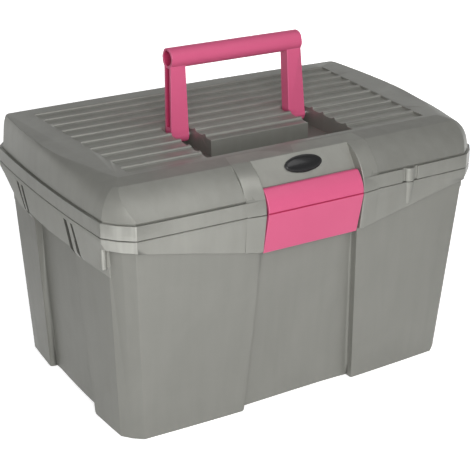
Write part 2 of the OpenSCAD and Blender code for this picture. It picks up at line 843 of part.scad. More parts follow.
module handle() {
    color(pink) translate([0, pivot_y, pivot_z]) rotate([-handle_lean, 0, 0]) difference() {
        union() {
            both_sides() leg();
            rod(-leg_inner - leg_top_w, leg_inner + leg_top_w, 0, handle_arm, grip_d / 2);
        }
        rod(-far, far, 0, handle_arm, grip_bore / 2);
        rod(-far, far, 0, 0, handle_pin_d / 2 + run_fit);
    }
}

module handle_pin() {
    color(steel) rod(island_half - pin_seat, channel_half + pin_seat, pivot_y, pivot_z, handle_pin_d / 2);
}

module handle_pin_left() {
    mirror([1, 0, 0]) handle_pin();
}

module handle_pin_right() {
    handle_pin();
}

// Latch flap: a round upper half, a flat lower half, a barrel for its pin and a hook

module latch_flap() {
    middle_y = bulge_y + latch_round;
    inner = latch_round - latch_t;
    tuck_y = bulge_y + latch_tuck;
    hook_z = catch_z - loose;
    hook_root = mix(bulge_y, tuck_y, (seam_z - hook_z) / latch_drop) + latch_t / 2;
    hook_tip = recess_y(catch_z) - catch_reach - clear;
    crease = 1.1;
    // Where the flap's arc runs into the barrel
    top_turn = atan2(latch_pin_rise, latch_pin_back - latch_round);
    color(pink) difference() {
        union() {
            along_x(-latch_half, latch_half)
                polygon(concat(arc(middle_y, seam_z, latch_round, top_turn, 180, 12),
                               [[tuck_y, latch_bottom], [tuck_y + latch_t, latch_bottom + 0.5]],
                               arc(middle_y, seam_z, inner, 180, top_turn, 12)));
            rod(-latch_half, latch_half, latch_pin_y, latch_pin_z, latch_barrel_r);
            along_x(-hook_half, hook_half)
                polygon([[hook_root, hook_z], [hook_tip, hook_z], [hook_root, hook_z - hook_h - 3]]);
        }
        rod(-far, far, latch_pin_y, latch_pin_z, latch_pin_d / 2 + run_fit);
        along_x(-far, far)
            polygon([[bulge_y - 1, seam_z + 2.7], [bulge_y + crease, seam_z + 1.2],
                     [bulge_y - 1, seam_z - 0.3]]);
    }
}

module latch_pin() {
    color(steel) rod(-pocket_half - ear_w, pocket_half + ear_w, latch_pin_y, latch_pin_z, latch_pin_d / 2);
}

// Badge, lying on the slanted panel above the latch

function oval(w, h) = [for (i = [0:47]) [w / 2 * cos(i * 7.5), h / 2 * sin(i * 7.5)]];

module on_panel() {
    middle = 0.56;
    translate([0, mix(pocket_y, panel_top_y, middle), mix(panel_z, panel_top_z, middle)])
        rotate([panel_tilt, 0, 0]) children();
}

module badge_plate() {
    color(black) on_panel() linear_extrude(badge_plate_t) polygon(oval(badge_w, badge_h));
}

module badge_dome() {
    edge = 1.2;
    rings = [for (t = [0:0.2:0.8]) let (in = edge + (1 - sqrt(1 - t * t)) * badge_h * 0.45)
                oval(badge_w - 2 * in, badge_h - 2 * in)];
    color(black) on_panel() loft(rings, [for (t = [0:0.2:0.8]) badge_plate_t + badge_crown * t]);
}

// Insert with two lift-out dividers

function tray_ring(z, inset) = wall_ring(z, -tray_inset - inset);

function tray_y(z) = wall_hy_at(z) - tray_inset - tray_wall;

module divider_guides() {
    gap = divider_t / 2 + loose;
    intersection() {
        loft([tray_ring(tray_z, tray_wall / 2), tray_ring(tray_top, tray_wall / 2)],
             [tray_z + 0.5, tray_top]);
        for (x = [-divider_x, divider_x], side = [-1, 1], end = [-1, 1])
            translate([x + side * (gap + 1) - 1, end > 0 ? tray_y(tray_z) - guide_depth : -far, 0])
                cube([2, far - tray_y(tray_z) + guide_depth, far]);
    }
}

module insert_tray() {
    color(grey) {
        difference() {
            loft([tray_ring(tray_z, 0), tray_ring(tray_top, 0)], [tray_z, tray_top]);
            loft([tray_ring(tray_z + tray_wall, tray_wall), tray_ring(tray_top + 2, tray_wall)],
                 [tray_z + tray_wall, tray_top + 2]);
        }
        divider_guides();
    }
}

module divider(x) {
    low = tray_z + tray_wall + loose;
    high = tray_top - 3;
    color(grey) along_x(x - divider_t / 2, x + divider_t / 2)
        polygon([[-tray_y(low) + loose, low], [tray_y(low) - loose, low],
                 [tray_y(high) - loose, high], [-tray_y(high) + loose, high]]);
}

module tray_divider_left() {
    divider(-divider_x);
}

module tray_divider_right() {
    divider(divider_x);
}

body_shell();
lid_shell();
hinge_pin_left();
hinge_pin_right();
handle();
handle_pin_left();
handle_pin_right();
latch_flap();
latch_pin();
badge_plate();
badge_dome();
insert_tray();
tray_divider_left();
tray_divider_right();
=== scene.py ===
# %% [markdown]
# # Horse grooming box
# This lesson dresses a packed construction model for a picture. The box is nearly all injection
# moulded: a grey box and lid, a pink handle and latch, an insert, and a few steel pins. The shapes
# are right already, so the work here is what moulding leaves on them: rounded edges, flow marks in
# the pearl grey, a fine grain, and light that shows all of it.

import json
import math

import bmesh
import bpy
from mathutils import Matrix, Vector
from mathutils.bvhtree import BVHTree
from mathutils.kdtree import KDTree


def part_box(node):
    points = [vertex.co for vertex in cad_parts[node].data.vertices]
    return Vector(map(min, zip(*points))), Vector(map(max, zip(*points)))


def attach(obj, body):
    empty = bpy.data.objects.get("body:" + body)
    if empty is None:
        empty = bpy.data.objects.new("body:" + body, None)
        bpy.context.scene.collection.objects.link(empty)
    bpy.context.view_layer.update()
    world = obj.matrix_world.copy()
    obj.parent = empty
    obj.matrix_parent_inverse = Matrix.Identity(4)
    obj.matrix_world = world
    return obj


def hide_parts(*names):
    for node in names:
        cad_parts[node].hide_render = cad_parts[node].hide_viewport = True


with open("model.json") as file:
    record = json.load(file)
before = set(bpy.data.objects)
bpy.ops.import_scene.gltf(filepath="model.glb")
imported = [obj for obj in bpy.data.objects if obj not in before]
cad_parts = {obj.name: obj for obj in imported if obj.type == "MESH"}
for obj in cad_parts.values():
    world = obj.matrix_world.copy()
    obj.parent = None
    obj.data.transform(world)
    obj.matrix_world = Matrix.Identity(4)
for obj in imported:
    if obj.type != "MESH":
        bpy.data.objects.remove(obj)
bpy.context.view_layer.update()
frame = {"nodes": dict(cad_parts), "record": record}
scene = bpy.context.scene
MM = 0.001

body_of_node = {}
for body, members in frame["record"]["behaviour"]["bodies"].items():
    for member in members:
        body_of_node[member] = body

# %% [markdown]
# ## Camera
# The photograph was taken from the front left, a little above the lid, with a long lens. A camera can
# be fitted by eye, but here its place was worked out from the straight edges of the box, so that the
# render and the photograph can be laid over each other.

# %% Camera
camera_place = Vector((-0.5830, -0.9724, 0.5993))
camera_target = Vector((0.0006, 0.0, 0.1212))
camera_data = bpy.data.cameras.new("camera")
camera_data.sensor_width = 36.0
camera_data.lens = 95.4
camera = bpy.data.objects.new("camera", camera_data)
camera.location = camera_place
camera.rotation_mode = "QUATERNION"
camera.rotation_quaternion = (camera_target - camera_place).to_track_quat("-Z", "Y")
scene.collection.objects.link(camera)
scene.camera = camera
scene.view_settings.view_transform = "Standard"
print("camera stands", round((camera_target - camera_place).length, 3), "m from the box")

# %% [markdown]
# ## Effects that several finishes share
# Moulded plastic is never one flat colour. Pigment and pearl flakes follow the melt as it fills the
# mould, which leaves soft swirls and streaks, and the mould's own surface prints a fine grain. Each
# effect is a node group, so that the grey and the pink use the same one with their own amounts.

# %% Helpers for node groups
def new_group(name, inputs, outputs):
    """An empty shader node group with number inputs and outputs, and its two end nodes."""
    group = bpy.data.node_groups.new(name, "ShaderNodeTree")
    for socket_name, value in inputs:
        socket = group.interface.new_socket(socket_name, in_out="INPUT", socket_type="NodeSocketFloat")
        socket.default_value = value
    for socket_name in outputs:
        group.interface.new_socket(socket_name, in_out="OUTPUT", socket_type="NodeSocketFloat")
    return group, group.nodes.new("NodeGroupInput"), group.nodes.new("NodeGroupOutput")


def stretched_coordinates(tree, stretch):
    """Object coordinates, scaled along each axis."""
    place = tree.nodes.new("ShaderNodeTexCoord")
    mapping = tree.nodes.new("ShaderNodeMapping")
    mapping.inputs["Scale"].default_value = stretch
    tree.links.new(place.outputs["Object"], mapping.inputs["Vector"])
    return mapping.outputs["Vector"]


def noise(tree, vector, scale, detail, distortion=0.0):
    """A noise texture on the given coordinates."""
    texture = tree.nodes.new("ShaderNodeTexNoise")
    texture.inputs["Scale"].default_value = scale
    texture.inputs["Detail"].default_value = detail
    texture.inputs["Distortion"].default_value = distortion
    tree.links.new(vector, texture.inputs["Vector"])
    return texture


def math_node(tree, operation, first, second):
    """A two-value calculation, each value a socket or a number."""
    node = tree.nodes.new("ShaderNodeMath")
    node.operation = operation
    for socket, value in zip(node.inputs, (first, second)):
        if isinstance(value, (int, float)):
            socket.default_value = value
        else:
            tree.links.new(value, socket)
    return node.outputs["Value"]


# %% Flow marks
flow_marks, flow_in, flow_out = new_group(
    "flow marks", [("Swirl", 0.5), ("Streak", 0.5)], ["Mask"])
swirl = noise(flow_marks, stretched_coordinates(flow_marks, (1, 1, 1)), 11.0, 3.0, 1.6)
streak = noise(flow_marks, stretched_coordinates(flow_marks, (1, 1, 0.10)), 95.0, 2.0, 0.4)
swirl_share = math_node(flow_marks, "MULTIPLY", swirl.outputs["Fac"], flow_in.outputs["Swirl"])
streak_share = math_node(flow_marks, "MULTIPLY", streak.outputs["Fac"], flow_in.outputs["Streak"])
flow_sum = math_node(flow_marks, "ADD", swirl_share, streak_share)
flow_marks.links.new(flow_sum, flow_out.inputs["Mask"])

# %% Mould grain
mould_grain, grain_in, grain_out = new_group("mould grain", [("Fineness", 1500.0)], ["Height", "Gloss"])
grain_place = stretched_coordinates(mould_grain, (1, 1, 1))
pits = noise(mould_grain, grain_place, 1500.0, 2.0)
mould_grain.links.new(grain_in.outputs["Fineness"], pits.inputs["Scale"])
patches = noise(mould_grain, grain_place, 38.0, 4.0, 0.6)
mould_grain.links.new(pits.outputs["Fac"], grain_out.inputs["Height"])
mould_grain.links.new(patches.outputs["Fac"], grain_out.inputs["Gloss"])
print("groups:", [group.name for group in bpy.data.node_groups])

# %% [markdown]
# ## Finishes
# The grey is a pearl plastic: satin, with a little metal flake, so flat faces shine softly and corners
# catch the light. The pink is a plain dyed plastic of the same grain. The badge is glossy black. One
# function builds both plastics, because only their colours and amounts differ. Some copies carry painted
# light: a painted highlight on the grey rim corners and the pink edges, painted light on the groove
# floors, at the latch and on the side aprons, and painted shade on the grooves' steep sides, in the slits
# and in the pink hollows.

# %% Plastic finishes
def group_node(tree, group):
    """A node that places a group in a material."""
    node = tree.nodes.new("ShaderNodeGroup")
    node.node_tree = group
    return node


def new_material(name):
    """A material with its tree and its shader."""
    material = bpy.data.materials.new(name)
    material.use_nodes = True
    return material, material.node_tree, material.node_tree.nodes["Principled BSDF"]


def value_range(tree, value, low, high):
    """Maps a value from 0..1 to a range."""
    node = tree.nodes.new("ShaderNodeMapRange")
    node.inputs["To Min"].default_value = low
    node.inputs["To Max"].default_value = high
    tree.links.new(value, node.inputs["Value"])
    return node.outputs["Result"]


def moulded_plastic(name, shade, tint, swirl, streak, rough, metal, shine, grain):
    """A moulded plastic between two colours, with flow marks and grain."""
    material, tree, shader = new_material(name)
    marks = group_node(tree, flow_marks)
    marks.inputs["Swirl"].default_value = swirl
    marks.inputs["Streak"].default_value = streak
    mix = tree.nodes.new("ShaderNodeMix")
    mix.data_type = "RGBA"
    mix.inputs["A"].default_value = (*shade, 1)
    mix.inputs["B"].default_value = (*tint, 1)
    tree.links.new(marks.outputs["Mask"], mix.inputs["Factor"])
    tree.links.new(mix.outputs["Result"], shader.inputs["Base Color"])
    skin = group_node(tree, mould_grain)
    tree.links.new(value_range(tree, skin.outputs["Gloss"], rough[0], rough[1]), shader.inputs["Roughness"])
    bump = tree.nodes.new("ShaderNodeBump")
    bump.inputs["Strength"].default_value = grain
    bump.inputs["Distance"].default_value = 0.1 * MM
    tree.links.new(skin.outputs["Height"], bump.inputs["Height"])
    tree.links.new(bump.outputs["Normal"], shader.inputs["Normal"])
    shader.inputs["Metallic"].default_value = metal
    shader.inputs["Specular IOR Level"].default_value = shine
    return material


grey_pearl = moulded_plastic(
    "grey pearl plastic", (0.205, 0.205, 0.186), (0.330, 0.330, 0.301), 0.6, 0.4,
    (0.34, 0.44), 0.45, 0.50, 0.05)
# A lighter, glossier copy of the pearl: a painted highlight on the corners of the rim and the band.
grey_corner_painted_highlight = moulded_plastic(
    "grey pearl plastic, polished corner with painted highlight", (0.215, 0.215, 0.196), (0.500, 0.500, 0.460), 0.2, 0.8,
    (0.28, 0.38), 0.45, 0.50, 0.02)
# A lighter copy of the pearl: painted light on the groove floors and beside the latch.
grey_painted_light = moulded_plastic(
    "grey pearl plastic, painted light", (0.240, 0.240, 0.218), (0.386, 0.386, 0.352), 0.6, 0.4,
    (0.34, 0.44), 0.45, 0.50, 0.05)
# A darker copy of the pearl: painted shade on the steep sides of the grooves, which face the front lamp.
grey_rise_painted_shade = moulded_plastic(
    "grey pearl plastic, steep side of a groove", (0.164, 0.164, 0.149), (0.264, 0.264, 0.241), 0.6, 0.4,
    (0.40, 0.50), 0.30, 0.35, 0.05)
# A near-black copy of the grey: painted shade inside the slits.
grey_slit_painted_shade = moulded_plastic(
    "grey pearl plastic, painted shade inside a slit", (0.070, 0.070, 0.062), (0.095, 0.095, 0.086), 0.6, 0.4,
    (0.50, 0.60), 0.0, 0.20, 0.10)
grey_wall = moulded_plastic(
    "grey pearl plastic, grained wall", (0.206, 0.206, 0.187), (0.269, 0.269, 0.245), 0.6, 0.4,
    (0.44, 0.56), 0.20, 0.30, 0.16)
# A dull copy of the grey on a lighter base: painted light on the side aprons.
grey_apron_painted_light = moulded_plastic(
    "grey pearl plastic, side apron with painted light", (0.256, 0.256, 0.233), (0.334, 0.334, 0.304), 0.6, 0.4,
    (0.44, 0.56), 0.20, 0.30, 0.10)
grey_inside = moulded_plastic(
    "grey pearl plastic, insert", (0.205, 0.205, 0.188), (0.262, 0.262, 0.240), 0.7, 0.3,
    (0.38, 0.50), 0.20, 0.35, 0.12)
pink_plastic = moulded_plastic(
    "pink plastic", (0.616, 0.096, 0.211), (0.680, 0.118, 0.242), 0.8, 0.2, (0.36, 0.46), 0.0, 0.30, 0.10)
# A lighter, glossier pink on the roundings: a painted highlight along the edges.
pink_edge_painted_highlight = moulded_plastic(
    "pink plastic, polished edge with painted highlight", (0.680, 0.125, 0.258), (0.740, 0.150, 0.292), 0.8, 0.2,
    (0.28, 0.38), 0.0, 0.45, 0.04)
# A darker, rougher pink: painted shade inside the hollows and the crease.
pink_hollow_painted_shade = moulded_plastic(
    "pink plastic, painted shade inside a hollow", (0.420, 0.030, 0.095), (0.480, 0.040, 0.115), 0.8, 0.2,
    (0.48, 0.60), 0.0, 0.20, 0.10)
print("plastics:", [material.name for material in bpy.data.materials])

# %% Badge and pin finishes
badge_black, badge_tree, badge_shader = new_material("glossy black badge")
badge_shader.inputs["Base Color"].default_value = (0.012, 0.012, 0.013, 1)
badge_shader.inputs["Specular IOR Level"].default_value = 0.35
badge_shader.inputs["Coat Weight"].default_value = 0.2
badge_shader.inputs["Coat Roughness"].default_value = 0.05
badge_skin = group_node(badge_tree, mould_grain)
badge_tree.links.new(
    value_range(badge_tree, badge_skin.outputs["Gloss"], 0.16, 0.30), badge_shader.inputs["Roughness"])

pin_steel, steel_tree, steel_shader = new_material("drawn steel pin")
drawn_lines = noise(steel_tree, stretched_coordinates(steel_tree, (0.04, 1, 1)), 2600.0, 2.0)
steel_tree.links.new(
    value_range(steel_tree, drawn_lines.outputs["Fac"], 0.24, 0.42), steel_shader.inputs["Roughness"])
steel_shader.inputs["Base Color"].default_value = (0.60, 0.60, 0.61, 1)
steel_shader.inputs["Metallic"].default_value = 1.0
print("finishes:", len(bpy.data.materials))

# %% [markdown]
# ## Rounded edges
# A mould has no razor edges: each corner of the part is rounded by about a millimetre, and those
# roundings draw the bright lines that make plastic look moulded. A Bevel modifier can make them all,
# but where a face is narrower than two roundings it would fold over. So each edge first gets a weight
# from the room beside it, and the modifier rounds by that weight. An edge with no room stays crisp.

# %% Room beside an edge
def room_beside(edge, face):
    """How far a face reaches inwards from an edge before another of its edges is in the way."""
    start, end = edge.verts
    middle = (start.co + end.co) / 2
    half = edge.calc_length() / 2
    along = (end.co - start.co).normalized()
    inward = face.normal.cross(along)
    if (face.calc_center_median() - middle).dot(inward) < 0:
        inward = -inward
    room = 1.0
    for other in face.edges:
        if other is edge:
            continue
        if start in other.verts or end in other.verts:
            shared = start if start in other.verts else end
            out = other.other_vert(shared).co - shared.co
            back = edge.other_vert(shared).co - shared.co
            turn = out.angle(back, 0)
            if turn < math.radians(150):
                room = min(room, out.length * math.sin(turn))
            continue
        first, last = other.verts
        for step in range(7):
            offset = first.co.lerp(last.co, step / 6) - middle
            depth = offset.dot(inward)
            if depth > 0 and abs(offset.dot(along)) <= half + 0.7 * depth:
                room = min(room, depth)
    return room


# %% Softened copies
SHARP_FROM = math.radians(25)
MERGE_WITHIN = 0.15 * MM
COLLAPSE_WITHIN = 0.1 * MM
NEARLY_FLAT = math.radians(3)
NEARLY_SQUARE = math.radians(60)
FLAT_WITHIN = math.radians(0.05)
LEAST_ROUNDNESS = 0.015
ROOM_NEEDED = 2.2
LEAST_WEIGHT = 0.15
SPECK = 0.15 * MM ** 2
NEAR_SURFACE = 1.3 * MM
ALONG = 0.3
MOST_ATTEMPTS = 12


def always_round(edge):
    """The plain rule: no edge is kept crisp."""
    return False


def full_share(edge):
    """The plain rule: every edge gets the whole rounding."""
    return 1.0


def no_crease(edge):
    """The plain rule: an edge between two nearly level faces is shaded smooth."""
    return False


def flat_regions(shape):
    """Groups of joined faces that lie in one plane."""
    seen = set()
    regions = []
    for face in shape.faces:
        if face in seen:
            continue
        seen.add(face)
        region = [face]
        for member in region:
            for edge in member.edges:
                if edge.calc_face_angle(1) > FLAT_WITHIN:
                    continue
                fresh = [other for other in edge.link_faces if other not in seen]
                seen.update(fresh)
                region.extend(fresh)
        regions.append(region)
    return regions


def is_plain_patch(region):
    """True for a patch with a single rim that isn't a long thin ring."""
    members = set(region)
    points = {vertex for face in region for vertex in face.verts}
    edges = {edge for face in region for edge in face.edges}
    rim = [edge for edge in edges if sum(face in members for face in edge.link_faces) == 1]
    rim_length = sum(edge.calc_length() for edge in rim)
    area = sum(face.calc_area() for face in region)
    has_no_hole = len(points) - len(edges) + len(region) == 1
    return has_no_hole and 4 * math.pi * area > LEAST_ROUNDNESS * rim_length ** 2


def clean_copy(node):
    """A bmesh of a part with its points merged and its flat faces whole."""
    shape = bmesh.new()
    shape.from_mesh(frame["nodes"][node].data)
    bmesh.ops.remove_doubles(shape, verts=shape.verts[:], dist=MERGE_WITHIN)
    bmesh.ops.dissolve_degenerate(shape, edges=shape.edges[:], dist=COLLAPSE_WITHIN)
    for region in flat_regions(shape):
        if len(region) > 1 and is_plain_patch(region):
            bmesh.ops.dissolve_faces(shape, faces=region, use_verts=False)
    bmesh.ops.join_triangles(
        shape, faces=shape.faces[:], angle_face_threshold=NEARLY_FLAT,
        angle_shape_threshold=NEARLY_SQUARE)
    return shape


def weigh_edges(shape, width, keep_crisp, share, crease):
    """Gives each sharp edge its share of the rounding, and returns how many are rounded and crisp."""
    weights = shape.edges.layers.float.new("bevel_weight_edge")
    rounded = 0
    crisp = 0
    for edge in shape.edges:
        if len(edge.link_faces) != 2:
            continue
        if edge.calc_face_angle(0) < SHARP_FROM:
            edge.smooth = not crease(edge)
            continue
        room = min(room_beside(edge, face) for face in edge.link_faces)
        weight = min(share(edge), room / (ROOM_NEEDED * width))
        if weight < LEAST_WEIGHT or keep_crisp(edge):
            edge.smooth = False
            crisp += 1
        else:
            edge[weights] = weight
            rounded += 1
    return rounded, crisp


def new_piece(name, shape, materials):
    """An object from a bmesh, with smooth faces and its materials."""
    mesh = bpy.data.meshes.new(name)
    for face in shape.faces:
        face.smooth = True
    shape.to_mesh(mesh)
    shape.free()
    for material in materials:
        mesh.materials.append(material)
    piece = bpy.data.objects.new(name, mesh)
    scene.collection.objects.link(piece)
    return piece


def stand_for(piece, node):
    """The piece takes a part's place and moves with its body."""
    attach(piece, body_of_node[node])
    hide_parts(node)


def one_finish(face):
    """The plain rule: every face has the first material."""
    return 0


# %% Roundings that fold over
def part_surface(node):
    """A part's own surface, for finding its nearest face or what a ray meets."""
    mesh = frame["nodes"][node].data
    return BVHTree.FromPolygons(
        [vertex.co for vertex in mesh.vertices], [list(face.vertices) for face in mesh.polygons])


def folded_corners(piece, surface):
    """Corners of the rounded faces that don't lie along the part's own surface."""
    shown = piece.evaluated_get(bpy.context.evaluated_depsgraph_get())
    mesh = shown.to_mesh()
    mesh.calc_loop_triangles()
    found = []
    for triangle in mesh.loop_triangles:
        if triangle.area < SPECK:
            continue
        corners = [mesh.vertices[index].co.copy() for index in triangle.vertices]
        near = surface.find_nearest_range(sum(corners, Vector()) / 3, NEAR_SURFACE)
        if not any(normal.dot(triangle.normal) > ALONG for place, normal, index, distance in near):
            found.extend(corners)
    shown.to_mesh_clear()
    return found


def ease_near(piece, corners, reach):
    """Halves the rounding of every edge that ends near one of the corners, and drops a small one."""
    places = KDTree(len(corners))
    for index, corner in enumerate(corners):
        places.insert(corner, index)
    places.balance()
    mesh = piece.data
    weights = mesh.attributes["bevel_weight_edge"].data
    dropped = 0
    for edge in mesh.edges:
        weight = weights[edge.index].value
        ends = [mesh.vertices[index].co for index in edge.vertices]
        if weight == 0 or min(places.find(end)[2] for end in ends) > reach:
            continue
        weights[edge.index].value = weight / 2
        if weight / 2 < LEAST_WEIGHT:
            weights[edge.index].value = 0
            edge.use_edge_sharp = True
            dropped += 1
    mesh.update()
    return dropped


def softened(node, name, width, materials, keep_crisp=always_round, finish=one_finish,
             share=full_share, crease=no_crease, edge_material=-1):
    """A copy of a moulded part with rounded edges, by default in the finish of the faces beside them."""
    shape = clean_copy(node)
    rounded, crisp = weigh_edges(shape, width, keep_crisp, share, crease)
    for face in shape.faces:
        face.material_index = finish(face)
    piece = new_piece(name, shape, materials)
    bevel = piece.modifiers.new("round the edges", "BEVEL")
    bevel.limit_method = "WEIGHT"
    bevel.width = width
    bevel.segments = 3
    bevel.profile = 0.5
    bevel.use_clamp_overlap = False
    bevel.material = edge_material
    normals = piece.modifiers.new("keep flat faces flat", "WEIGHTED_NORMAL")
    normals.weight = 90
    normals.keep_sharp = True
    surface = part_surface(node)
    for attempt in range(MOST_ATTEMPTS):
        folded = folded_corners(piece, surface)
        if not folded:
            break
        crisp += ease_near(piece, folded, 1.5 * width)
    stand_for(piece, node)
    print(name, "rounds", rounded, "edges, crisp", crisp, "folded corners left", len(folded))
    return piece


# %% [markdown]
# ## Box
# The box is one moulding: drafted walls with raised corners, a skirt under the rim, hand grips at both
# sides and knuckles at the back. The walls are grained in the mould and look dull. The skirt is polished
# like the lid, so that the two look like one band, and it starts where the walls end. Its corners get a
# painted highlight, its dull aprons at the ends get painted light, and the slits beside the hand grips get
# painted shade. A rule picks the finish of each face from its place and direction. The long upright
# corners of the walls are rounded three times as much as the edges of the skirt.

# %% Box
SKIRT_FOOT = 150 * MM
SLIT_INNER = 48.5 * MM
SLIT_OUTER = 60 * MM
SLIT_HALF = 2.6 * MM
END_FROM = 175 * MM
CORNER_FROM = 100 * MM
CORNER_TURN = 0.45
END_LOOK = 0.9
ON_SKIRT = 0.33


def reaches_below_skirt(element):
    """True for a face or an edge of the walls."""
    return min(vertex.co.z for vertex in element.verts) < SKIRT_FOOT


def slit_distance(place):
    """How far a place is from the middle of the nearest slit, front to back."""
    return min(abs(abs(place.y) - SLIT_INNER), abs(abs(place.y) - SLIT_OUTER))


def in_a_slit(face):
    """True for faces inside the upright slits beside the hand grips."""
    middle = face.calc_center_median()
    places = [vertex.co for vertex in face.verts] + [middle]
    within = all(slit_distance(place) < SLIT_HALF for place in places)
    return within and middle.z > SKIRT_FOOT and abs(middle.x) > END_FROM


def at_rim_corner(face):
    """True for upright faces that are turned to a corner of the rim."""
    middle = face.calc_center_median()
    turned = min(abs(face.normal.x), abs(face.normal.y)) > CORNER_TURN
    return turned and abs(middle.x) > END_FROM and abs(middle.y) > CORNER_FROM


def wall_or_skirt(face):
    """Painted shade in the slits, a painted highlight on the skirt's corners, the grained walls, painted
    light on the side aprons, and the polished grey elsewhere.
    """
    if in_a_slit(face):
        return 2
    if at_rim_corner(face) and not reaches_below_skirt(face):
        return 3
    if reaches_below_skirt(face):
        return 1
    outside_end = abs(face.calc_center_median().x) > END_FROM and abs(face.normal.x) > END_LOOK
    return 4 if outside_end else 0


def more_on_walls(edge):
    """The whole rounding on the walls and a third of it elsewhere."""
    return 1.0 if reaches_below_skirt(edge) else ON_SKIRT


softened(
    "body_shell", "grey_box", 2.4 * MM, [grey_pearl, grey_wall, grey_slit_painted_shade, grey_corner_painted_highlight, grey_apron_painted_light],
    finish=wall_or_skirt, share=more_on_walls)

# %% [markdown]
# ## Lid
# The lid's top has hollow grooves with narrow crests between them. The crests are too narrow to round
# without eating them up, and on the real lid they are crisp light lines, so the rule below keeps every
# edge crisp whose two faces both look upwards. The line around the lid, between its band and its dome,
# is a narrow dark slot, and its edges stay crisp as well. The dome's front has a ridge along it and an
# arc around each corner. They are too blunt for the bevel, so they are marked as creases. In the grooves
# painted light on the floor and painted shade on the steep side, which faces the front lamp, keep the
# pattern as soft as it is on the real lid, and a ray to the front and one to the back tell whether a face
# lies in a groove. The band's corners get a painted highlight, and the panel and pilasters beside the
# latch get painted light.

# %% Lid
SLOT_LOW = 214.2 * MM
SLOT_HIGH = 216.6 * MM
RIDGE_LOW = 239.5 * MM
RIDGE_HIGH = 242.5 * MM
RIDGE_FROM = -104 * MM
RIDGE_ANGLE = math.radians(12)
BOTH_UP = 0.55
LOOKS_DOWN = -0.5
CEILING_HALF = 100 * MM
CEILING_LOOK = 0.95
CEILING_ANGLE = math.radians(1)
BAY_HALF = 70.5 * MM
BAY_LOOK = -0.15
GROOVE_FROM = 238 * MM
GROOVE_WIDTH = 18 * MM
GROOVE_LOOK = 0.3
ABOVE_GROOVE = 0.3 * MM
STEEP_LOOK = -0.5
ARC_FROM = 150 * MM
ARC_ANGLE = math.radians(3)
ARC_TURN = math.radians(20)
LEVEL_WITHIN = 0.2


def corner_arc(edge):
    """True on the arcs that rise around the front corners of the dome."""
    first, last = (vertex.co for vertex in edge.verts)
    at_corner = min(abs(first.x), abs(last.x)) > ARC_FROM and max(first.y, last.y) < RIDGE_FROM
    on_dome = min(first.z, last.z) > SLOT_HIGH - MM and max(first.z, last.z) < RIDGE_HIGH
    rises = abs(last.z - first.z) > LEVEL_WITHIN * edge.calc_length()
    turn = edge.link_faces[0].normal.xy.angle(edge.link_faces[1].normal.xy, 0)
    return at_corner and on_dome and rises and turn > ARC_TURN and edge.calc_face_angle(0) > ARC_ANGLE


def meets_ceiling(edge):
    """True for an edge inside the lid with an end on a face that looks down."""
    if min(vertex.co.z for vertex in edge.verts) < SLOT_HIGH:
        return False
    return any(face.normal.z < LOOKS_DOWN for vertex in edge.verts for face in vertex.link_faces)


def groove_or_slot(edge):
    """True on the rims of the grooves, in the slot, inside the lid and on the corner arcs."""
    in_slot = all(SLOT_LOW < vertex.co.z < SLOT_HIGH for vertex in edge.verts)
    both_up = min(face.normal.z for face in edge.link_faces) > BOTH_UP
    return in_slot or both_up or meets_ceiling(edge) or corner_arc(edge)


def on_ceiling(edge):
    """True on the blunt edges of the flat ceiling inside the lid, around the seats of the handle pins."""
    below = min(face.normal.z for face in edge.link_faces) < -CEILING_LOOK
    near_seats = all(abs(vertex.co.x) < CEILING_HALF for vertex in edge.verts)
    return below and near_seats and edge.calc_face_angle(0) > CEILING_ANGLE


def ridge_or_arc(edge):
    """True on the dome's blunt front ridge, on the corner arcs and on the ceiling's blunt edges."""
    at_height = all(RIDGE_LOW < vertex.co.z < RIDGE_HIGH for vertex in edge.verts)
    in_front = all(vertex.co.y < RIDGE_FROM for vertex in edge.verts)
    on_ridge = at_height and in_front and edge.calc_face_angle(0) > RIDGE_ANGLE
    return on_ridge or corner_arc(edge) or on_ceiling(edge)


lid_surface = part_surface("lid_shell")


def in_a_groove(face):
    """True where the lid rises close by, both in front of an upper face and behind it."""
    if face.normal.z < GROOVE_LOOK or face.calc_center_median().z < GROOVE_FROM:
        return False
    start = face.calc_center_median() + Vector((0, 0, ABOVE_GROOVE))
    return all(lid_surface.ray_cast(start, (0, way, 0), GROOVE_WIDTH)[0] is not None for way in (-1, 1))


def in_latch_bay(face):
    """True for the front of the panel above the latch and of the pilasters beside it."""
    middle = face.calc_center_median()
    in_front = face.normal.y < BAY_LOOK and middle.y < RIDGE_FROM
    return in_front and abs(middle.x) < BAY_HALF and middle.z > SLOT_HIGH


def lid_finish(face):
    """A painted highlight on the band's corners, painted light on the groove floors and at the latch, painted
    shade on the grooves' steep sides, and the plain pearl elsewhere.
    """
    if at_rim_corner(face) and face.calc_center_median().z < SLOT_HIGH:
        return 1
    if in_a_groove(face):
        return 3 if face.normal.y < STEEP_LOOK else 2
    return 2 if in_latch_bay(face) else 0


softened(
    "lid_shell", "grey_lid", 0.8 * MM, [grey_pearl, grey_corner_painted_highlight, grey_painted_light, grey_rise_painted_shade],
    keep_crisp=groove_or_slot, finish=lid_finish, crease=ridge_or_arc)

# %% [markdown]
# ## Handle and latch
# Both are pink mouldings. The handle has a hollow grip between two hollow legs, and the latch is a flap
# with a crease across its middle. Inside the hollows and the crease the pink is rougher and has painted
# shade, and the rounded edges of both get a lighter pink as a painted highlight.
# A face counts as inside when most lines drawn outwards from it soon meet the same part again.

# %% Faces inside a hollow
RAYS = 16
RAYS_MET = 9
ABOVE_FACE = 0.2 * MM


